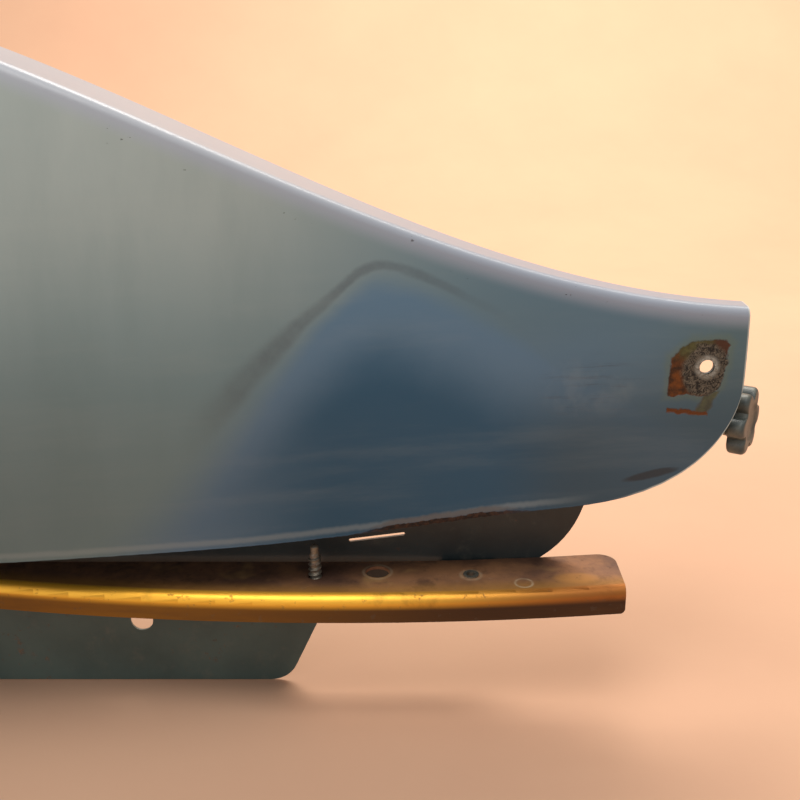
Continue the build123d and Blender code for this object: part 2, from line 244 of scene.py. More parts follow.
def ripple(a, seed, waves=7, low=1.0, high=9.0):
    """Smooth unevenness in -1..1: a sum of sines with seeded frequencies and phases."""
    rng = np.random.default_rng(seed)
    total = np.zeros_like(np.asarray(a, dtype=float))
    for f, p in zip(rng.uniform(low, high, waves), rng.uniform(0, 2 * math.pi, waves)):
        total = total + np.sin(np.asarray(a) * f + p)
    return total / waves


def lower_outline():
    """x and height of the skin's lower edge, from the nose round under the D-shaped tail."""
    nose = through([(-75, 34), (-50, -14), (-26, -37)], (0.3, -1), (1, -0.2), 90)
    nose = nose[nose[:, 0] > NOSE + 0.02][:-1]
    nose = np.vstack([[NOSE + 0.01, np.interp(NOSE, nose[:, 0], nose[:, 1])], nose])
    sill = np.stack([np.linspace(-26, 250, 96), np.linspace(-37, -38.6, 96)], -1)[:-1]
    tail = through([(250, -38.6), (390, -35.6), (463, -28.8), (510, -22.5), (535, -10.5),
                    (550, 6), (TAIL, 34)], (1, 0), (0, 1), 360)
    line = np.vstack([nose, sill, tail])
    line[:, 0] = np.maximum.accumulate(np.minimum(line[:, 0], TAIL) + np.arange(len(line)) * 1e-5)
    return line


def trimmed(rings, heights, rows=88):
    """Each cross-section cut off at its own height and spread over the same number of rows."""
    z = rings[:, :120, 2]
    above = np.argmax(z > heights[:, None], axis=1)
    row = np.arange(len(rings))
    z0, z1 = z[row, above - 1], z[row, above]
    begin = above - 1 + (heights - z0) / np.maximum(z1 - z0, 1e-9)
    last = rings.shape[1] - 1
    share = np.linspace(0, 1, rows)[None, :]
    place = begin[:, None] + (last - begin)[:, None] * share
    whole = np.clip(place.astype(int), 0, last - 1)
    part = (place - whole)[..., None]
    return rings[row[:, None], whole] * (1 - part) + rings[row[:, None], whole + 1] * part


def skin_sheets():
    """x of the columns, and the outer and inner surface over the same columns and rows. The
    lower edge is a little ragged where the paint has rusted away."""
    line = lower_outline()
    x = line[:, 0]
    worn = np.exp(-(((x - 425) / 62) ** 4))
    ragged = worn * (0.55 + 0.55 * ripple(x, 5, 9, 0.25, 2.6)) + 0.12 * (1 + ripple(x, 9, 5, 0.1, 1))
    heights = line[:, 1] + np.clip(ragged, 0, 1.6)
    outer = trimmed(rings_at(lofted(0.0), x), heights)
    inner = trimmed(rings_at(lofted(SHEET), np.maximum(x, NOSE + SHEET + 0.01)), heights)
    return x, outer, inner


def dents(outer):
    """How far the skin is pressed in: two slow ripples multiplied, fading to both ends."""
    depth = 0.35 * ripple(outer[..., 0] / 60, 3) * ripple(outer[..., 2] / 45, 4)
    fade = np.clip((outer[..., 0] - 100) / 60, 0, 1) * np.clip((530 - outer[..., 0]) / 40, 0, 1)
    return np.clip(depth * fade, -0.6, 0)


def nose_walls(outer, inner):
    """Flat nose: each sheet's first section carried straight back to the flange's line."""
    share = np.linspace(0, 1, 10)[1:, None]
    walls = []
    for section, x in ((outer[0], NOSE), (inner[0], NOSE + SHEET)):
        depth = section[None, :, 1] + (FLANGE_DEPTH - section[None, :, 1]) * share
        height = np.broadcast_to(section[None, :, 2], depth.shape)
        walls.append(np.stack([np.full_like(depth, x), -depth, height], -1))
    return walls


def cowl_shell():
    """The skin: outer and inner lofts over the same rows and columns, joined along the free
    edge, the tail, the flange and round a flat nose. Its attributes are the distance from the
    free edge, the drop below the crest and whether a point is inside."""
    x, outer, inner = skin_sheets()
    walls = nose_walls(outer, inner)
    columns, rows = outer.shape[:2]
    count, size = columns * rows, walls[0].shape[0] * rows
    sheets = [np.stack([s[..., 0], -s[..., 1], s[..., 2]], -1) for s in (outer, inner)]
    points = np.vstack([part.reshape(-1, 3) for part in (*sheets, *walls)])
    points[:2 * count, 1] -= np.tile(dents(outer).ravel(), 2)

    index = np.arange(count).reshape(columns, rows)
    wall = 2 * count + np.arange(size).reshape(-1, rows)
    front, back = np.vstack([index[:1], wall]), np.vstack([index[:1] + count, wall + size])
    faces = np.vstack([
        numbered_faces(index), numbered_faces(index + count, flip=True),
        strip_faces(index[:, 0] + count, index[:, 0]),
        strip_faces(index[:, -1], index[:, -1] + count),
        strip_faces(index[-1] + count, index[-1]),
        numbered_faces(front, flip=True), numbered_faces(back),
        strip_faces(front[:, 0], back[:, 0]), strip_faces(back[:, -1], front[:, -1]),
        strip_faces(front[-1], back[-1])])

    span = np.linalg.norm(np.diff(outer, axis=1), axis=-1)
    from_edge = np.concatenate([np.zeros((columns, 1)), np.cumsum(span, 1)], 1)
    from_edge = np.minimum(from_edge, TAIL - outer[..., 0] + 0.2).ravel()
    under_crest = (np.array([crest(v) for v in x])[:, None] - outer[..., 2]).ravel()
    on_walls = np.ones(2 * size)
    attributes = {"from_edge": np.r_[from_edge, from_edge, on_walls * 8],
                  "under_crest": np.r_[under_crest, under_crest, on_walls * 20],
                  "inside": np.r_[np.zeros(count), np.ones(count), np.zeros(size), np.ones(size)]}
    return mesh_piece("cowl_shell", points, faces, "cowl", ("cowl_skin",), 40,
                      attributes)


def drilled(piece, x, z, radius, y_from, y_to, sides=64):
    """Cuts a round hole along Y through a closed piece, and keeps the result as its mesh."""
    angle = np.linspace(0, 2 * math.pi, sides, endpoint=False)
    loop = np.stack([x + radius * np.cos(angle), np.full(sides, y_from),
                     z + radius * np.sin(angle)], -1)
    ends = np.vstack([loop, loop + (0, y_to - y_from, 0)])
    faces = grid_faces(2, sides, wrap=True, flip=True).tolist()
    faces += [list(range(sides)), list(range(2 * sides - 1, sides - 1, -1))]
    mesh = bpy.data.meshes.new("cutter")
    mesh.from_pydata(((ends - ORIGIN) * MM).tolist(), [], faces)
    cutter = bpy.data.objects.new("cutter", mesh)
    bpy.context.scene.collection.objects.link(cutter)
    cut = piece.modifiers.new("hole", "BOOLEAN")
    cut.operation, cut.solver, cut.object = "DIFFERENCE", "EXACT", cutter
    shape = piece.evaluated_get(bpy.context.evaluated_depsgraph_get())
    made = bpy.data.meshes.new_from_object(shape)
    piece.modifiers.clear()
    piece.data = made
    bpy.data.objects.remove(cutter)
    made.polygons.foreach_set("use_smooth", np.ones(len(made.polygons), dtype=bool))
    made.set_sharp_from_angle(angle=math.radians(40))
    return piece


# ---- turned and hexagonal pieces ---------------------------------------------

def basis(axis):
    """Two unit vectors across an axis, and the axis itself, as rows."""
    a = np.array(axis, dtype=float) / np.linalg.norm(axis)
    u = np.cross((0, 0, 1) if abs(a[2]) < 0.9 else (0, 1, 0), a)
    u /= np.linalg.norm(u)
    return np.array([u, np.cross(a, u), a])


def turned(profile, origin, axis, around=48, shape=None):
    """A closed profile of (radius, height) carried round an axis. shape(angle, radius, height)
    may change the radius, as a hexagon or a lobed rim does."""
    p = np.array(profile, dtype=float)
    angle = np.linspace(0, 2 * math.pi, around, endpoint=False)
    r = np.broadcast_to(p[:, :1], (len(p), around))
    h = np.broadcast_to(p[:, 1:2], (len(p), around))
    if shape:
        r = shape(angle[None, :], r, h)
    local = np.stack([r * np.cos(angle), r * np.sin(angle), h], -1)
    points = np.array(origin) + local @ basis(axis)
    faces = grid_faces(len(p), around, wrap=True)
    return points.reshape(-1, 3), faces


def joined(shapes):
    """Several (points, faces) as one."""
    points, faces, start = [], [], 0
    for p, f in shapes:
        points.append(p)
        faces.append(np.asarray(f) + start)
        start += len(p)
    return np.vstack(points), np.vstack(faces)


def hexagon(across_flats, chamfer_radius, level_low, level_high, slope=0.58):
    """Radius of a hexagon whose corners are turned off by a cone at its ends."""
    def radius(angle, r, h):
        flat = np.mod(angle + math.pi / 6, math.pi / 3) - math.pi / 6
        six = across_flats / 2 / np.cos(flat)
        cone = chamfer_radius + np.minimum(h - level_low, level_high - h) / slope
        full = r >= across_flats / 2 - 1e-6
        return np.where(full, np.minimum(six, cone), np.minimum(r, six))
    return radius


def hex_head(origin, axis, across_flats, height, shank_r, shank_length):
    """A bolt: hexagonal head chamfered on its outer side only, and its shank."""
    af = across_flats / 2
    levels = np.linspace(0, height, 12)
    profile = [(0.0, height)] + [(af * k, height) for k in (0.4, 0.8, 0.97)]
    profile += [(af, z) for z in levels[::-1]]
    profile += [(shank_r + 0.3, 0), (shank_r, -0.2), (shank_r, -shank_length + 0.8),
                (shank_r - 0.7, -shank_length), (0.0, -shank_length)]
    unchamfered = -9.0
    return turned(profile[::-1], origin, axis, 72,
                  hexagon(across_flats, af * 0.99, unchamfered, height))


def hex_nut(origin, axis, across_flats, height, bore):
    """A nut: hexagon chamfered at both ends round a bore with a bevelled mouth."""
    af = across_flats / 2
    levels = np.linspace(0, height, 12)
    profile = [(bore, 0.6), (bore + 0.6, 0), (af * 0.9, 0)]
    profile += [(af, z) for z in levels] + [(af * 0.9, height), (bore + 0.6, height),
                                            (bore, height - 0.6), (bore, 0.6)]
    return turned(profile, origin, axis, 72, hexagon(across_flats, af * 0.99, 0, height))


def washer(origin, axis, outer, bore, thick, round_r=0.3):
    """A flat ring with softened edges."""
    r = round_r
    profile = [(bore, r), (bore + r, 0), (outer - r, 0), (outer, r), (outer, thick - r),
               (outer - r, thick), (bore + r, thick), (bore, thick - r), (bore, r)]
    return turned(profile, origin, axis, 56)


OUT, IN, UP = (0, -1, 0), (0, 1, 0), (0, 0, 1)
CLAMP_AXIS = (math.cos(CLAMP_TURN), -math.sin(CLAMP_TURN), 0)


def on_clamp(along):
    """Point on the clamp's axis."""
    return CLAMP + np.array(CLAMP_AXIS) * along


def fasteners():
    """Bolts, nuts, washers and bushes with chamfers, in the places of their plain solids."""
    frame_at = ((190, -80, -3.2), (330, -80, -3.2), (440, -78, -2.0))    # x, z, face
    small_head, large_head = (10, 4), (13, 5.3)                  # across flats, height
    small_nut, thick, past_nut, strut_bar = (10, 5, 3.05), 1.6, 5.6, 3.0
    pieces = {
        "frame_bolts": [hex_head((x, y - thick, z), OUT, *small_head, 3,
                                 past_nut + PLATE + thick - y) for x, z, y in frame_at],
        "frame_nuts": [hex_nut((x, PLATE, z), IN, *small_nut) for x, z, y in frame_at],
        "frame_washers": [washer((x, y, z), OUT, 6.25, 3.2, thick) for x, z, y in frame_at],
        "strut_bolts": [hex_head((x, 0, CLAMP[2]), OUT, *small_head, 3,
                                 past_nut + PLATE + strut_bar) for x in (440, 480)],
        "strut_nuts": [hex_nut((x, PLATE + strut_bar, CLAMP[2]), IN, *small_nut)
                       for x in (440, 480)],
        "pivot_bolt": [hex_head((0, PLATE, 0), IN, *large_head, 4, 30)],
        "pivot_nut": [hex_nut((0, -19.9, 0), OUT, 13, 6.5, 4.05)],
        "pivot_washer": [washer((0, -18.3, 0), OUT, 8.5, 4.2, thick)],
        "pivot_spacer": [washer((0, -2, 0), OUT, 8, 4.1, 7.7, 0.5)],
        "pivot_doubler": [washer((0, 0, 0), OUT, 22, 4.2, 2, 0.6)],
        "skirt_spacer": [washer((330, 0, -80), OUT, 7, 3.3, 2)],
        "knob_washer": [washer(on_clamp(2.4), CLAMP_AXIS, 8.5, 4.3, thick)],
        "clamp_stud": [hex_head(on_clamp(-3.6), np.array(CLAMP_AXIS) * -1, *large_head, 4, 15.1)],
    }
    bodies = {"knob_washer": "clamp_washer"}
    made = {}
    for node, shapes in pieces.items():
        points, faces = joined(shapes)
        made[node] = mesh_piece("fine_" + node, points, faces, bodies.get(node, "frame"), (node,),
                                28)
    return made


def knob():
    """Lobed hand knob. Round the axis its rim follows six circles standing on a round core; its
    edges are rounded over the thickness, and a smaller hub behind it is bored for the insert."""
    back, front = 4.1, 14.1
    hub, hub_height, bore, bore_depth = 9.0, 1.5, 6.0, 8.0
    low, high = 1.8, 2.2                       # edge radii at the back and the front
    edge = np.linspace(0, math.pi / 2, 8)
    under = back + hub_height
    profile = [(bore, back + bore_depth), (bore, back), (hub - 0.4, back), (hub, back + 0.4),
               (hub, under)]
    profile += [(KNOB_R - low + low * math.sin(a), under + low - low * math.cos(a)) for a in edge]
    profile += [(KNOB_R - high + high * math.cos(a), front - high + high * math.sin(a))
                for a in edge]
    profile += [(9.5, front), (8.4, front - 0.6), (6.0, front - 0.9), (0.0, front - 1.0)]

    def lobed(angle, r, h):
        half = math.pi / LOBES
        off = np.mod(angle + half, 2 * half) - half
        reach = KNOB_R - LOBE_R
        chord = np.maximum(LOBE_R ** 2 - (reach * np.sin(off)) ** 2, 0.0)
        lobe = reach * np.cos(off) + np.sqrt(chord)
        rim = np.maximum(KNOB_CORE - 0.8, lobe - 0.9 * np.exp(-chord / 4))
        outside_hub = hub + 0.05
        return r - (KNOB_R - rim) * np.clip((r - outside_hub) / (KNOB_R - outside_hub), 0, 1)

    body = turned(profile, CLAMP, CLAMP_AXIS, 180, lobed)
    bore_end = turned([(0.0, back + bore_depth), (bore, back + bore_depth)], CLAMP, CLAMP_AXIS, 180)
    points, faces = joined([body, bore_end])
    return mesh_piece("lobed_knob", points, faces, "knob", ("hand_knob",), 38)


def self_tapping_screw():
    """Pan head under the rail and a coarse thread above it: the radius rises to a crest once a
    turn as height and angle wind together, and dies away into a thin point."""
    under, tip = RAIL_TOP - RAIL_T, RAIL_TOP + 16.6
    pitch, core_r, shank_more, crest_rise, thread_end = 2.6, 1.9, 0.35, 0.92, 12.6
    rows, around = 260, 56
    z = np.linspace(under, tip, rows)
    angle = np.linspace(0, 2 * math.pi, around, endpoint=False)
    height = z[:, None] - under
    phase = np.mod(height / pitch - angle[None, :] / (2 * math.pi), 1.0)
    ridge = np.clip(1 - np.abs(phase - 0.5) / 0.3, 0, 1)
    full = np.clip((thread_end - height) / 1.2, 0, 1) * np.clip(height / 0.8, 0, 1)
    core = core_r + shank_more * np.clip(thread_end + 1 - height, 0, 1)
    point = np.sqrt(np.clip((tip - z[:, None]) / 1.3, 0, 1))
    r = np.minimum((core + crest_rise * ridge * full) * point, 3.15)
    shaft = np.stack([SCREW[0] + r * np.cos(angle), SCREW[1] + r * np.sin(angle),
                      np.broadcast_to(z[:, None], r.shape)], -1).reshape(-1, 3)
    head_r, round_r = 5.4, 1.5
    head = [(core_r + shank_more, under), (head_r, under), (head_r, under - 1.2)]
    head += [(head_r - round_r * (1 - math.cos(a)), under - 1.9 - round_r * math.sin(a))
             for a in np.linspace(0, math.pi / 2, 7)]
    head += [(1.9, under - 3.4), (1.5, under - 2.4), (0.0, under - 2.4)]
    dome = turned(head[::-1], (*SCREW, 0), UP, around)
    points, faces = joined([(shaft, grid_faces(rows, around, wrap=True)), dome])
    return mesh_piece("tapping_screw", points, faces, "frame", ("rail_screw",), 50)


# ---- finishes ------------------------------------------------------------------

class Value:
    """A shader socket that takes part in Python expressions."""

    def __init__(self, finish, socket):
        self.finish, self.socket = finish, socket

    def _do(self, operation, *values):
        return self.finish.node("ShaderNodeMath", dict(enumerate(values)), operation=operation)

    def __add__(self, other):
        return self._do("ADD", self, other)

    def __sub__(self, other):
        return self._do("SUBTRACT", self, other)

    def __rsub__(self, other):
        return self._do("SUBTRACT", other, self)

    def __mul__(self, other):
        return self._do("MULTIPLY", self, other)

    def __truediv__(self, other):
        return self._do("DIVIDE", self, other)

    def __pow__(self, other):
        return self._do("POWER", self, other)

    def __neg__(self):
        return self._do("MULTIPLY", self, -1.0)

    def __abs__(self):
        return self._do("ABSOLUTE", self)

    __radd__, __rmul__ = __add__, __mul__

    def low(self, other):
        return self._do("MINIMUM", self, other)

    def high(self, other):
        return self._do("MAXIMUM", self, other)

    def step(self, start, end):
        """0 below start, 1 above end, smooth between; end may be the smaller."""
        return self.finish.node("ShaderNodeMapRange", {0: self, 1: start, 2: end, 3: 0.0, 4: 1.0},
                                interpolation_type="SMOOTHSTEP")


class Finish:
    """One material: its Principled shader, and short calls for the nodes that feed it."""

    def __init__(self, name, roughness=0.5, metallic=0.0, coat=0.0, coat_roughness=0.1,
                 specular=0.5):
        self.material = bpy.data.materials.new(name)
        self.material.use_nodes = True
        self.tree = self.material.node_tree
        self.shader = self.tree.nodes["Principled BSDF"]
        for key, value in (("Roughness", roughness), ("Metallic", metallic),
                           ("Coat Weight", coat), ("Coat Roughness", coat_roughness),
                           ("Specular IOR Level", specular)):
            self.shader.inputs[key].default_value = value
        # Object coordinates, moved so that x, y and z are metres from the pivot
        place = self.node("ShaderNodeTexCoord", {}, out="Object")
        self.place = self.node("ShaderNodeVectorMath", {0: place, 1: tuple(ORIGIN * MM)})
        self.x, self.y, self.z = (
            self.node("ShaderNodeSeparateXYZ", {0: self.place}, out=k) for k in range(3))

    def node(self, kind, sockets=None, out=0, **settings):
        """Adds a node: its settings first, then the values or links of its sockets."""
        made = self.tree.nodes.new(kind)
        for key, value in settings.items():
            setattr(made, key, value)
        for key, value in (sockets or {}).items():
            if isinstance(value, Value):
                self.tree.links.new(value.socket, made.inputs[key])
            elif value is not None:
                made.inputs[key].default_value = value
        return Value(self, made.outputs[out])

    def noise(self, scale, detail=4.0, roughness=0.55, distortion=0.0, stretch=None, shift=None):
        """Cloudy values in 0..1; stretch scales the axes first, shift moves the pattern."""
        at = self.place
        if stretch or shift:
            at = self.node("ShaderNodeMapping", {0: at, 1: shift or (0, 0, 0),
                                                 3: stretch or (1, 1, 1)})
        return self.node("ShaderNodeTexNoise", {"Vector": at, "Scale": scale, "Detail": detail,
                                                "Roughness": roughness,
                                                "Distortion": distortion}, out=0)

    def attribute(self, name):
        return self.node("ShaderNodeAttribute", {}, out="Fac", attribute_name=name)

    def mix(self, factor, first, second):
        """Colour between first and second."""
        first, second = (c if isinstance(c, Value) else (*c, 1.0) for c in (first, second))
        return self.node("ShaderNodeMix", {0: factor, 6: first, 7: second}, out=2,
                         data_type="RGBA")

    def feed(self, **inputs):
        """Links values to the shader's own sockets."""
        names = {"color": "Base Color", "roughness": "Roughness", "metallic": "Metallic",
                 "coat": "Coat Weight", "normal": "Normal"}
        for key, value in inputs.items():
            self.tree.links.new(value.socket, self.shader.inputs[names[key]])
        return self

    def bump(self, height, distance, strength=1.0):
        return self.node("ShaderNodeBump", {"Height": height, "Distance": distance,
                                            "Strength": strength})


def rgb(r, g, b):
    """Linear colour from 0..255 screen values."""
    return tuple(((c / 255 + 0.055) / 1.055) ** 2.4 if c > 10 else c / 255 / 12.92
                 for c in (r, g, b))


# Colours of the enamel. The front grey-green and the pale warm grey stand partly for painted
# reflection, and the grey also tints real smears and a brushed patch. The deep blue and the low tail
# colour are painted shade. The roll grey is a painted highlight on the rolled top edge. The dark
# scuff grey marks real scratches and also the painted edge of a reflection.
REFLECTED_GREY_GREEN, BLUE_GREY, GREY_TEAL = rgb(104, 124, 126), rgb(84, 106, 118), rgb(74, 92, 90)
SHEEN_AND_SMEAR_GREY, HAZY_BLUE, SHADED_DEEP_BLUE = rgb(156, 158, 150), rgb(84, 110, 130), rgb(36, 76, 100)
LOW_TAIL_SHADE, SCUFF_AND_REFLECTION_DARK, ROLL_HIGHLIGHT = rgb(50, 72, 84), rgb(60, 60, 66), rgb(146, 148, 158)


def rust_color(f, seed=0.0):
    """Orange to dark brown, cloudy."""
    cloud = f.noise(420, 6, 0.7, shift=(seed, 0, 0)).step(0.3, 0.72)
    fine = f.noise(1500, 3, 0.6, shift=(0, seed, 0)).step(0.35, 0.7)
    warm = f.mix(cloud, rgb(60, 32, 16), rgb(150, 82, 30))
    return f.mix(fine * 0.55, warm, rgb(38, 24, 18))


def enamel_with_painted_light(f, cloud, fine):
    """Grey-green towards the front and pale over its upper part, both painted reflection; blue-grey
    at the tail; deepest blue under a dark arch, the painted edge of a reflection, deepening into
    painted shade that is darkest low at the tail.
    """
    x, z = f.x, f.z
    drift = (cloud - 0.5) * 0.020
    # painted reflection: grey-green towards the front, giving way to blue-grey at the tail
    base = f.mix((x + drift).step(0.30, 0.50), REFLECTED_GREY_GREEN, BLUE_GREY)
    base = f.mix((x + drift).step(0.500, 0.560) * 0.6, base, GREY_TEAL)
    # painted reflection: paler towards the top of the front part
    base = f.mix((z + drift).step(0.035, 0.125) * (1 - x.step(0.33, 0.46)) * 0.7, base, SHEEN_AND_SMEAR_GREY)
    bands = f.noise(13, 5, 0.6, stretch=(2.4, 1, 0.5)).step(0.35, 0.68)
    base = f.mix(bands * 0.16 * x.step(0.42, 0.34), base, rgb(78, 98, 96))
    # the arch, the painted edge of a reflection: two straight legs rounded into each other
    run = x - 0.397
    bend = (run * run + 0.000144) ** 0.5 - 0.012
    line = 0.0865 - bend * 0.81 + run * 0.21 + (fine - 0.5) * 0.004 + (cloud - 0.5) * 0.008
    below = line - z
    inside = (below / (0.012 + x.step(0.385, 0.300) * 0.040)).step(0.0, 1.0)
    tail = (x + drift).step(0.40, 0.46) * (z + drift).step(0.066, 0.030)
    # painted shade: from the hazy blue just under the arch, the blue deepens further below it
    depth = (below + drift).step(0.015, 0.055) * (x + drift).step(0.310, 0.385)
    blue = f.mix(depth, HAZY_BLUE, SHADED_DEEP_BLUE)
    color = f.mix(inside.high(tail * x.step(0.54, 0.46)), base, blue)
    # painted shade: darker low at the tail
    color = f.mix((z + drift).step(0.052, 0.005) * x.step(0.44, 0.49) * 0.85, color, LOW_TAIL_SHADE)
    # painted reflection: a dark grainy strip along the edge of the arch
    spread_out = 0.0024 + (x.step(0.395, 0.320) * 0.0080)
    arch_reflection_band = (1 - (abs(below + 0.001) / spread_out).step(0.3, 1.3)) * x.step(0.312, 0.352)
    arch_reflection_band = arch_reflection_band * x.step(0.462, 0.405) * (0.55 + 0.45 * f.noise(60, 6, 0.7).step(0.3, 0.7))
    return f.mix(arch_reflection_band * 0.44, color, SCUFF_AND_REFLECTION_DARK)


def scratched(f, color):
    """A brushed patch and a dark streak near the tail, and long faint smears all over."""
    x, z = f.x, f.z
    smear = f.noise(26, 5, 0.65, stretch=(0.25, 1, 2.2)).step(0.45, 0.8)
    color = f.mix(smear * 0.10, color, SHEEN_AND_SMEAR_GREY)
    dx, dz = (x - 0.490) / 0.024, (z - 0.031) / 0.015
    near = (dx * dx + dz * dz).step(1.3, 0.2)
    fine_lines = f.noise(150, 5, 0.75, stretch=(0.10, 1, 2.4)).step(0.50, 0.68)
    color = f.mix(near * fine_lines * 0.5, color, SCUFF_AND_REFLECTION_DARK)
    color = f.mix(near * f.noise(70, 4, 0.6).step(0.45, 0.7) * 0.10, color, SHEEN_AND_SMEAR_GREY)
    sx, sz = (x - 0.520) / 0.013, (z + 0.0115 - (x - 0.520) * 0.22) / 0.0022
    streak = (sx * sx + sz * sz + (f.noise(160, 5, 0.7, stretch=(0.3, 1, 1)) - 0.5) * 1.6)
    return f.mix(streak.step(1.2, 0.3) * 0.7, color, rgb(34, 36, 38))


def rust_patch(f):
    """Flaked ground round the tail hole: a patch with cut corners, its hook and bar, each the
    furthest of its half-planes. Gives its share, its halo's share, its colour and its relief."""
    x, z = f.x, f.z
    wob_x = (f.noise(150, 5, 0.65) - 0.5) * 0.0050
    wob_z = (f.noise(150, 5, 0.65, shift=(3, 1, 2)) - 0.5) * 0.0050
    px, pz = x - 0.5385 + wob_x, z - 0.0385 + wob_z
    out = (px - pz * 0.16 - 0.0100).high(pz - 0.0125).high(-pz - 0.0122).high(-px - 0.0140)
    out = out.high(pz * 0.789 - px * 0.614 - 0.0129).high((px - pz) * 0.707 - 0.0120)
    out = out.high((px + pz) * 0.707 - 0.0154)
    hook = (abs(pz + 0.0165) - 0.0055).high(abs(px - 0.0030 - (pz + 0.0165) * 0.45) - 0.0030)
    bar = (abs(px + 0.0050) - 0.0088).high(abs(pz + 0.0208 + px * 0.10) - 0.0009)
    hx, hz = x - TAIL_HOLE[0] * MM, z - TAIL_HOLE[1] * MM
    ring = (hx * hx + hz * hz) ** 0.5
    worms = f.noise(620, 5, 0.75, distortion=1.5)
    ground = f.mix(worms.step(0.42, 0.60), rgb(30, 25, 20), rgb(98, 88, 74))
    olive = f.mix(f.noise(240, 5, 0.6).step(0.3, 0.7), rgb(86, 82, 46), rgb(62, 54, 30))
    orange = f.mix(f.noise(300, 5, 0.6).step(0.3, 0.7), rgb(104, 56, 16), rgb(50, 30, 14))
    stain = f.mix((pz + px * 0.3 + wob_x).step(-0.001, 0.006), orange, olive)
    stain = f.mix((px - 0.0035).step(-0.001, 0.003), stain, rgb(70, 42, 26))
    core = ((hx * hx + (hz * 0.9 + 0.0012) ** 2) ** 0.5 + wob_x * 1.6).step(0.0122, 0.0100)
    color = f.mix(core, stain, ground)
    metal = f.mix(worms.step(0.35, 0.65), rgb(176, 172, 160), rgb(96, 88, 76))
    color = f.mix((ring + wob_z * 0.3).step(0.0064, 0.0040) * 0.75, color, metal)
    color = f.mix(hook.step(0.0006, -0.0006) * out.step(-0.0004, 0.0006), color, olive)
    color = f.mix(bar.step(0.0006, -0.0004), color, rgb(92, 48, 16))
    share = out.low(bar).step(0.0006, -0.0003).high(hook.step(0.0008, -0.0010) * 0.8)
    return share, out.step(0.0042, 0.0002), color, worms


def cowl_paint():
    """Old enamel over sheet: its colours with painted reflection, shade and highlights, scratches,
    small chips, a rusty lower edge and the patch at the tail hole; bare primer inside."""
    f = Finish("blue_enamel_with_painted_light", roughness=0.32, coat=0.15, coat_roughness=0.18, specular=0.3)
    x = f.x
    cloud = f.noise(9, 5, 0.6)
    fine = f.noise(60, 5, 0.6, stretch=(1, 1, 1.6))
    under_crest, edge = f.attribute("under_crest"), f.attribute("from_edge")
    color = scratched(f, enamel_with_painted_light(f, cloud, fine))
    # painted highlight: paler near the rolled top edge
    color = f.mix(under_crest.step(11.0, 3.0) * 0.75, color, ROLL_HIGHLIGHT)
    # small chips along the rolled edge and the free edge
    spots = f.noise(330, 4, 0.6, stretch=(0.6, 1, 1)).step(0.655, 0.69)
    here = f.noise(60, 2).step(0.56, 0.62)
    on_roll = 1 - abs(under_crest - 7.0).step(3.0, 8.0)
    chip = spots * here * on_roll.high(edge.step(4.0, 0.5) * 0.9)
    color = f.mix(chip, color, rgb(44, 38, 34))
    # the free edge: a pale line painted as the highlight of a folded edge, then ragged rust where
    # the paint has flaked
    fold_highlight = (1 - abs(edge - 4.6 + fine * 1.6).step(0.4, 2.6)) * x.step(0.50, 0.46)
    color = f.mix(fold_highlight * 0.34, color, rgb(150, 158, 156))
    bite = f.noise(150, 5, 0.7, stretch=(0.6, 1, 1))
    flaked = x.step(0.385, 0.405) * x.step(0.472, 0.445)
    reach = 0.4 + 2.9 * flaked
    worn = (edge - reach * (bite + 0.25)).step(0.30, -0.30)
    halo = (edge - reach * (bite + 1.1)).step(0.8, -0.8) * flaked
    color = f.mix(halo * 0.45, color, rgb(84, 64, 48))
    dark = f.mix(f.noise(520, 5, 0.7).step(0.35, 0.65), rgb(24, 19, 17), rgb(64, 42, 29))
    color = f.mix(worn * (0.55 + 0.45 * flaked), color, dark)
    # a pale line along the tail's cut edge, partly bare metal and partly a painted highlight
    rim = (edge.step(1.1, 0.5) * x.step(0.50, 0.53)) * (0.6 + 0.4 * bite)
    color = f.mix(rim, color, rgb(176, 174, 162))
    patched, halo_share, ground, worms = rust_patch(f)
    color = f.mix(halo_share * 0.34 * (1 - patched), color, rgb(96, 104, 74))
    color = f.mix(patched, color, ground)
    inside = f.attribute("inside")
    color = f.mix(inside.step(0.4, 0.6), color, f.mix(cloud, rgb(46, 52, 52), rgb(66, 76, 76)))
    broken = worn.high(patched).high(chip)
    rough = 0.30 + 0.14 * cloud + 0.08 * fine + 0.38 * broken + 0.2 * inside
    gloss = 0.15 * (1 - broken) * (1 - inside)
    height = (f.noise(700, 2, 0.5) * 0.08 + f.noise(70, 3) * 0.2 - chip * 0.6 - worn * 1.2
              - patched * (0.7 + 1.3 * worms))
    return f.feed(color=color, roughness=rough, coat=gloss,
                  normal=f.bump(height, 0.00025, 0.6)).material


def dark_paint(name, low, high, rough=0.42, rust=0.0):
    """Thin dark paint over sheet with dust and a little rust."""
    f = Finish(name, roughness=rough, coat=0.25, coat_roughness=0.25)
    cloud = f.noise(16, 5, 0.6)
    fine = f.noise(220, 5, 0.65)
    color = f.mix(cloud.step(0.3, 0.7), low, high)
    dust = f.noise(90, 5, 0.7).step(0.52, 0.8)
    color = f.mix(dust * 0.3, color, rgb(112, 104, 90))
    spot = (fine * 0.6 + cloud * 0.4).step(0.60 - rust * 0.1, 0.66 - rust * 0.1)
    color = f.mix(spot * (0.35 + rust), color, rust_color(f, 2.0))
    return f.feed(color=color, roughness=(rough - 0.08) + 0.25 * fine + 0.2 * spot,
                  normal=f.bump(fine * 0.5 + f.noise(900, 3) * 0.3 - spot * 0.6, 0.0002, 0.5)
                  ).material


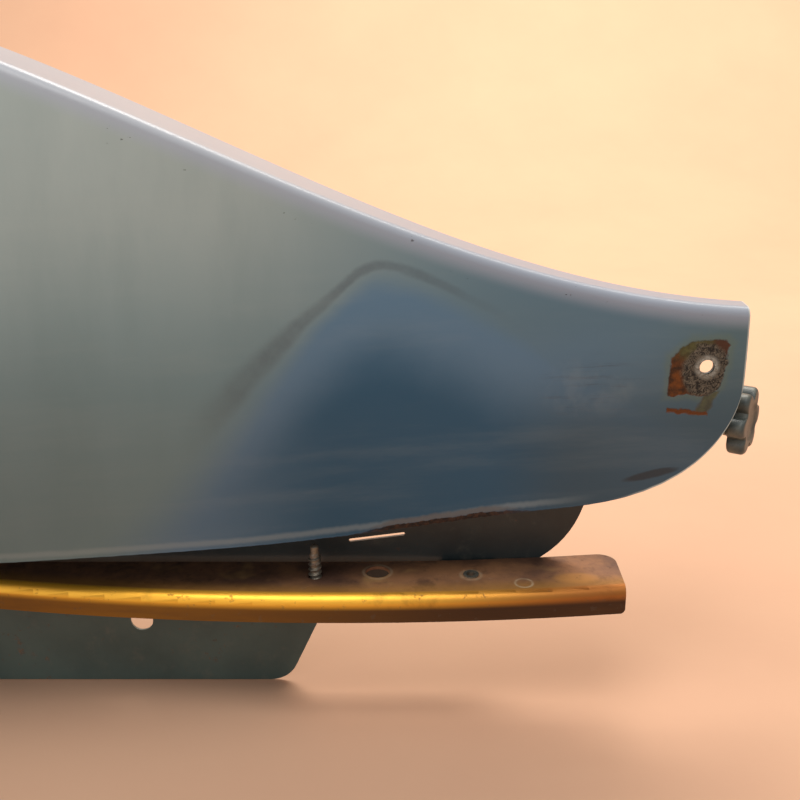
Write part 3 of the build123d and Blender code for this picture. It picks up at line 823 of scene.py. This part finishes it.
def aged_gold():
    """Gold-coloured plated rail: a painted highlight along the bend that spreads onto the flange's
    front, brown stains on the flange, a face darkening towards the right end with worn streaks, and
    pale marks left by washers."""
    f = Finish("aged_gold_rail", roughness=0.4, metallic=0.6)
    x, y, z = f.x, f.y, f.z
    cloud = f.noise(22, 6, 0.65)
    fine = f.noise(260, 5, 0.65)
    long_wear = f.noise(60, 5, 0.65, stretch=(0.12, 1, 1.6))
    bow = x - 0.380
    into = y + 0.0385 - bow * bow * 0.5
    front_side = into.step(0.0058, 0.0030)
    flat = 1 - front_side
    # painted highlight for the bend: brightest on the left, fading towards the right end
    gold_and_highlight = f.mix(x.step(0.36, 0.50), rgb(250, 186, 62), rgb(160, 98, 42))
    face = f.mix(x.step(0.26, 0.46), rgb(132, 86, 18), rgb(60, 35, 14))
    face = f.mix(long_wear.step(0.40, 0.70) * 0.5, face, rgb(86, 56, 26))
    bend = z.step(-0.0692, -0.0655)
    front = f.mix(bend * (1 - 0.5 * cloud.step(0.55, 0.7)), face, gold_and_highlight)
    top = f.mix(cloud.step(0.36, 0.64), rgb(92, 64, 50), rgb(140, 98, 66))
    top = f.mix(f.noise(75, 5, 0.7).step(0.5, 0.68) * 0.6, top, rgb(70, 48, 36))
    top = f.mix(f.noise(34, 3, 0.6, shift=(1, 2, 3)).step(0.58, 0.72) * 0.5, top,
                rgb(176, 136, 84))
    # painted highlight spreading from the bend onto the flange's front
    top = f.mix(into.step(0.0150, 0.0040) * 0.6, top, rgb(168, 118, 46))
    color = f.mix(flat, front, top)
    marks = None
    for cx, cy, r, width, share in ((0.440, -0.0175, 0.0046, 0.0016, 0.3),
                                    (0.4638, -0.0251, 0.0040, 0.0010, 0.5),
                                    (0.3965, -0.0146, 0.0066, 0.0012, 0.35)):
        dx, dy = x - cx, y - cy
        ring = (1 - abs((dx * dx + dy * dy) ** 0.5 - r).step(0.0, width)) * share
        marks = ring if marks is None else marks.high(ring)
    marks = marks * (0.5 + 0.5 * f.noise(300, 3).step(0.35, 0.6)) * flat
    color = f.mix(marks, color, rgb(190, 172, 142))
    sx, sy = (x - 0.489) / 0.012, (y + 0.0205) / 0.0060
    stain = (sx * sx + sy * sy + (cloud - 0.5) * 2.5).step(1.2, 0.2) * flat
    color = f.mix(stain * 0.45, color, rgb(190, 134, 60))
    specks = fine.step(0.61, 0.67)
    color = f.mix(specks * 0.3, color, rgb(64, 40, 20))
    rough = 0.36 + 0.14 * cloud + 0.16 * flat + 0.2 * specks + 0.1 * fine
    metal = 0.70 - 0.35 * flat - 0.4 * specks - 0.3 * (1 - bend) * front_side
    height = long_wear * 0.4 + fine * 0.35 - specks * 0.6 + f.noise(900, 3) * 0.2
    return f.feed(color=color, roughness=rough, metallic=metal,
                  normal=f.bump(height, 0.00022, 0.5)).material


def bare_steel(name, low, high, rust_share, rough=0.42):
    """Zinc-plated or bare steel with cloudy patches of rust."""
    f = Finish(name, roughness=rough, metallic=0.9)
    cloud = f.noise(260, 5, 0.65)
    fine = f.noise(1400, 4, 0.65)
    color = f.mix(cloud.step(0.3, 0.7), low, high)
    rusty = (cloud * 0.5 + f.noise(520, 5, 0.7, shift=(1, 1, 1)) * 0.5)
    rusty = rusty.step(0.62 - 0.3 * rust_share, 0.70 - 0.3 * rust_share)
    color = f.mix(rusty * (0.4 + 0.6 * rust_share), color, rust_color(f, 5.0))
    return f.feed(color=color, roughness=(rough - 0.1) + 0.25 * fine + 0.3 * rusty,
                  metallic=0.92 - 0.8 * rusty,
                  normal=f.bump(fine * 0.4 - rusty * 0.5, 0.00012, 0.6)).material


def knob_enamel():
    """Hammered grey-green paint with dark grimy specks."""
    f = Finish("knob_enamel", roughness=0.45, coat=0.2, coat_roughness=0.3)
    cloud = f.noise(140, 5, 0.6)
    fine = f.noise(900, 4, 0.6)
    color = f.mix(cloud.step(0.3, 0.7), rgb(54, 64, 64), rgb(92, 94, 84))
    color = f.mix(fine.step(0.6, 0.72) * 0.6, color, rgb(40, 34, 30))
    return f.feed(color=color, roughness=0.38 + 0.25 * fine,
                  normal=f.bump(cloud * 0.6 + fine * 0.4, 0.0003, 0.6)).material


def rubber():
    """Matt black rubber."""
    f = Finish("buffer_rubber", roughness=0.75)
    cloud = f.noise(90, 5, 0.6)
    fine = f.noise(1200, 4, 0.7)
    color = f.mix(cloud.step(0.3, 0.75), (0.012, 0.012, 0.012), (0.04, 0.038, 0.035))
    return f.feed(color=color, roughness=0.65 + 0.2 * fine,
                  normal=f.bump(fine, 0.0002, 0.5)).material


def brass_finish():
    """Dull turned brass."""
    f = Finish("brass_bush", roughness=0.3, metallic=1.0)
    fine = f.noise(700, 4, 0.6)
    color = f.mix(f.noise(160, 4).step(0.35, 0.7), rgb(196, 152, 82), rgb(142, 98, 46))
    return f.feed(color=color, roughness=0.25 + 0.25 * fine,
                  normal=f.bump(fine, 0.0001, 0.4)).material


def dress(piece, material):
    """Gives a piece one material."""
    piece.data.materials.clear()
    piece.data.materials.append(material)


# ---- build ---------------------------------------------------------------------

shell = drilled(cowl_shell(), *TAIL_HOLE, -30, 5)
hardware = fasteners()
hand_knob = knob()
screw = self_tapping_screw()

nodes = frame["nodes"]
enamel = cowl_paint()
inner = dark_paint("inner_primer", rgb(50, 56, 56), rgb(78, 88, 88), 0.5, 0.15)
# near-black: partly painted shade, the plate being blue-painted steel sitting in the cowl's shadow
plate = dark_paint("plate_enamel_and_painted_shade", rgb(26, 32, 33), rgb(44, 52, 52), 0.42, 0.1)
skirt = dark_paint("skirt_enamel", rgb(56, 72, 68), rgb(74, 90, 84), 0.38, 0.05)
gold_and_highlight = aged_gold()
zinc = bare_steel("zinc_plate", rgb(122, 120, 112), rgb(158, 154, 142), 0.25)
rusty = bare_steel("rusty_screw_steel", rgb(120, 112, 100), rgb(158, 148, 132), 0.35, 0.5)
hammered = knob_enamel()
black = rubber()
brass = brass_finish()

dress(shell, enamel)
for node, piece in hardware.items():
    dress(piece, plate if node == "pivot_doubler" else zinc)
dress(hand_knob, hammered)
dress(screw, rusty)
for names, material in (
        (("tail_doubler", "cowl_ribs", "pivot_channel", "keeper_fork"), inner),
        (("inner_side_plate", "rail_brackets", "rear_strut"), plate),
        (("lower_skirt",), skirt), (("support_rail",), gold_and_highlight), (("rail_rivets",), zinc),
        (("top_buffers",), black), (("buffer_screws",), zinc),
        (("pivot_bush", "knob_insert"), brass)):
    for name in names:
        dress(nodes[name], material)

# ---- studio ----------------------------------------------------------------------


def backdrop():
    """Floor that curves up into a wall: a straight run, a quarter circle and a rise."""
    low = cad_box[0][2] - 0.0005
    run = [(-3.0, 0.0), (-1.0, 0.0), (0.9, 0.0)]
    turn = [(0.9 + 0.8 * math.sin(a), 0.8 - 0.8 * math.cos(a))
            for a in np.linspace(0, math.pi / 2, 24)[1:]]
    line = np.array(run + turn + [(1.7, 3.0)])
    xs = np.array([-4.0, 4.0])
    points = np.stack([np.repeat(xs, len(line)), np.tile(line[:, 0], 2),
                       np.tile(line[:, 1], 2) + low], -1)
    mesh = bpy.data.meshes.new("studio_floor")
    mesh.from_pydata(points.tolist(), [], grid_faces(2, len(line), flip=True).tolist())
    mesh.polygons.foreach_set("use_smooth", np.ones(len(mesh.polygons), dtype=bool))
    made = bpy.data.objects.new("studio_floor", mesh)
    bpy.context.scene.collection.objects.link(made)
    f = Finish("pale_floor", roughness=0.85)
    color = f.mix(f.noise(5, 5, 0.6), rgb(180, 140, 114), rgb(190, 152, 124))
    f.feed(color=color, normal=f.bump(f.noise(60, 5, 0.6), 0.0006, 0.3))
    dress(made, f.material)


def lamp(name, at, aim, size, power, color=(1, 1, 1)):
    """Square area light at a place, facing aim."""
    light = bpy.data.lights.new(name, "AREA")
    light.shape, light.size, light.energy, light.color = "SQUARE", size, power, color
    made = bpy.data.objects.new(name, light)
    made.location = Vector(at) - Vector(ORIGIN * MM)
    made.rotation_euler = (Vector(aim) - Vector(at)).to_track_quat("-Z", "Y").to_euler()
    bpy.context.scene.collection.objects.link(made)


def camera():
    """Looks along +Y and down, close to the tail."""
    tilt, distance, field = math.radians(19.5), 0.480, math.radians(40)
    target = np.array((0.407, -0.0195, 0.025)) - ORIGIN * MM
    look = np.array((0, math.cos(tilt), -math.sin(tilt)))
    data = bpy.data.cameras.new("camera")
    data.angle = field
    data.clip_start = 0.01
    made = bpy.data.objects.new("camera", data)
    made.location = (target - look * distance).tolist()
    made.rotation_euler = (math.pi / 2 - tilt, 0, 0)
    bpy.context.scene.collection.objects.link(made)
    bpy.context.scene.camera = made


def world():
    """Pale, slightly cool air all round."""
    made = bpy.data.worlds.new("studio_air")
    made.use_nodes = True
    ground = made.node_tree.nodes["Background"]
    ground.inputs[0].default_value = (0.92, 0.96, 1.0, 1)
    ground.inputs[1].default_value = 0.42
    bpy.context.scene.world = made


backdrop()
lamp("key", (0.1, -0.55, 1.55), (0.35, 0, 0.05), 1.1, 26, (1, 0.97, 0.93))
lamp("fill", (-0.6, -1.5, 0.6), (0.35, 0, 0.0), 1.0, 5, (0.95, 0.97, 1.0))
lamp("rim", (0.3, 1.0, 1.5), (0.3, 0, 0.1), 0.9, 14, (1, 0.95, 0.9))
lamp("wall_wash", (0.8, 0.75, 1.3), (0.8, 1.7, 0.1), 1.0, 38, (1, 0.95, 0.86))
world()
camera()
bpy.context.scene.view_settings.view_transform = "Standard"
